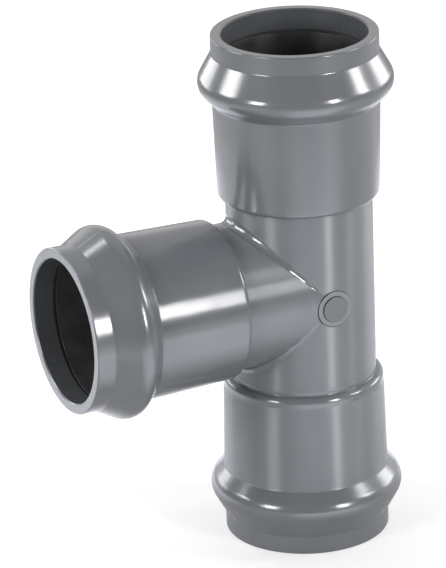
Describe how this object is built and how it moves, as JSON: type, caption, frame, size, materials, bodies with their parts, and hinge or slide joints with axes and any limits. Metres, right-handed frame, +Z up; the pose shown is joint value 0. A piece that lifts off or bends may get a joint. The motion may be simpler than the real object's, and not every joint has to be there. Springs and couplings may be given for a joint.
{
  "type": "pipe tee",
  "caption": "Right-angle pipe tee for pressure pipe, with push-fit sockets on the run and the branch, each beaded over a rubber lip seal in its groove.",
  "frame": {"origin": "centre of the lower run socket's mouth, on the run's axis", "axes": "+Z up the run, out of the upper socket's mouth; -X along the branch, out of its mouth; -Y towards the side with the gate mark"},
  "size_m": [0.1591, 0.0862, 0.234],
  "materials": {
    "grey_plastic": "glossy injection-moulded grey plastic",
    "seal_rubber": "matt black rubber"
  },
  "bodies": {
    "root": {"tee_body": "grey_plastic", "lower_seal": "seal_rubber", "upper_seal": "seal_rubber", "branch_seal": "seal_rubber"}
  },
  "joints": []
}
